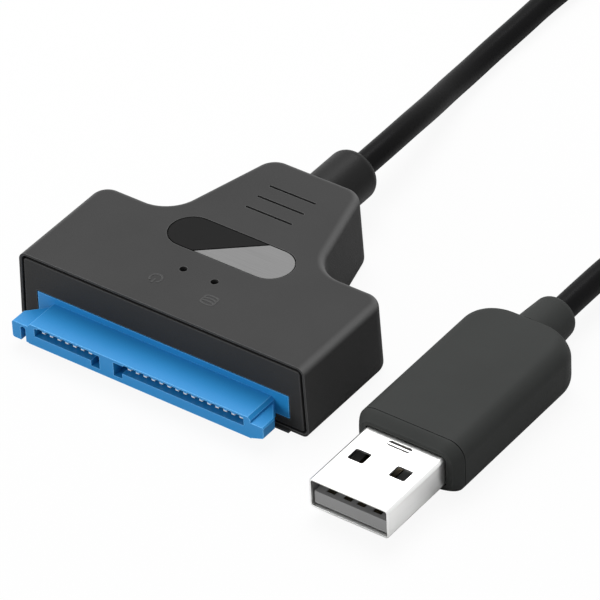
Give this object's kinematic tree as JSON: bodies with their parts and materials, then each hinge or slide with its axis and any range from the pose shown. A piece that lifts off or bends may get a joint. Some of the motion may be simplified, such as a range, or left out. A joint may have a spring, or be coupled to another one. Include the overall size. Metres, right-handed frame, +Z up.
{
  "type": "usb to sata adapter",
  "caption": "Drive adapter with a flat T-shaped housing, a wide blue drive receptacle, a short round cable and a USB plug.",
  "frame": {"origin": "on the floor under the middle of the housing with its receptacle and collar", "axes": "+X along the receptacle towards the plug's side, +Y from the receptacle back along the cable, +Z up"},
  "size_m": [0.0694, 0.1403, 0.011],
  "materials": {
    "housing": "fine matte texture",
    "blue_insulator": "satin",
    "contact_plating": "gold plated",
    "board": "solder mask",
    "chip": "moulded package",
    "can": "drawn can",
    "ferrite": "pressed ferrite",
    "ceramic": "fired ceramic",
    "lamp": "clear",
    "dark_inlay": "matte",
    "light_inlay": "matte",
    "relief": "soft matte",
    "cable_jacket": "satin",
    "grip": "soft matte",
    "shell_steel": "nickel plated",
    "insert": "satin",
    "insulation_red": "satin",
    "insulation_white": "satin",
    "insulation_green": "satin",
    "insulation_black": "satin"
  },
  "bodies": {
    "root": {"body_sleeve": "housing", "front_bezel": "housing", "receptacle_insulator": "blue_insulator", "data_contact_1": "contact_plating", "data_contact_2": "contact_plating", "data_contact_3": "contact_plating", "data_contact_4": "contact_plating", "data_contact_5": "contact_plating", "data_contact_6": "contact_plating", "data_contact_7": "contact_plating", "power_contact_1": "contact_plating", "power_contact_2": "contact_plating", "power_contact_3": "contact_plating", "power_contact_4": "contact_plating", "power_contact_5": "contact_plating", "power_contact_6": "contact_plating", "power_contact_7": "contact_plating", "power_contact_8": "contact_plating", "power_contact_9": "contact_plating", "power_contact_10": "contact_plating", "power_contact_11": "contact_plating", "power_contact_12": "contact_plating", "power_contact_13": "contact_plating", "power_contact_14": "contact_plating", "power_contact_15": "contact_plating", "circuit_board": "board", "bridge_chip": "chip", "crystal": "can", "inductor": "ferrite", "regulator": "chip", "capacitor_1": "ceramic", "capacitor_2": "ceramic", "capacitor_3": "ceramic", "status_lamp_1": "lamp", "status_lamp_2": "lamp", "inlay_dark": "dark_inlay", "inlay_light": "light_inlay", "board_wire_red": "insulation_red", "board_wire_white": "insulation_white", "board_wire_green": "insulation_green", "board_wire_black": "insulation_black", "strain_relief": "relief", "cable": "cable_jacket", "usb_grip": "grip", "usb_shell": "shell_steel", "usb_insert": "insert", "usb_contact_1": "contact_plating", "usb_contact_2": "contact_plating", "usb_contact_3": "contact_plating", "usb_contact_4": "contact_plating", "plug_wire_red": "insulation_red", "plug_wire_white": "insulation_white", "plug_wire_green": "insulation_green", "plug_wire_black": "insulation_black"}
  },
  "joints": []
}
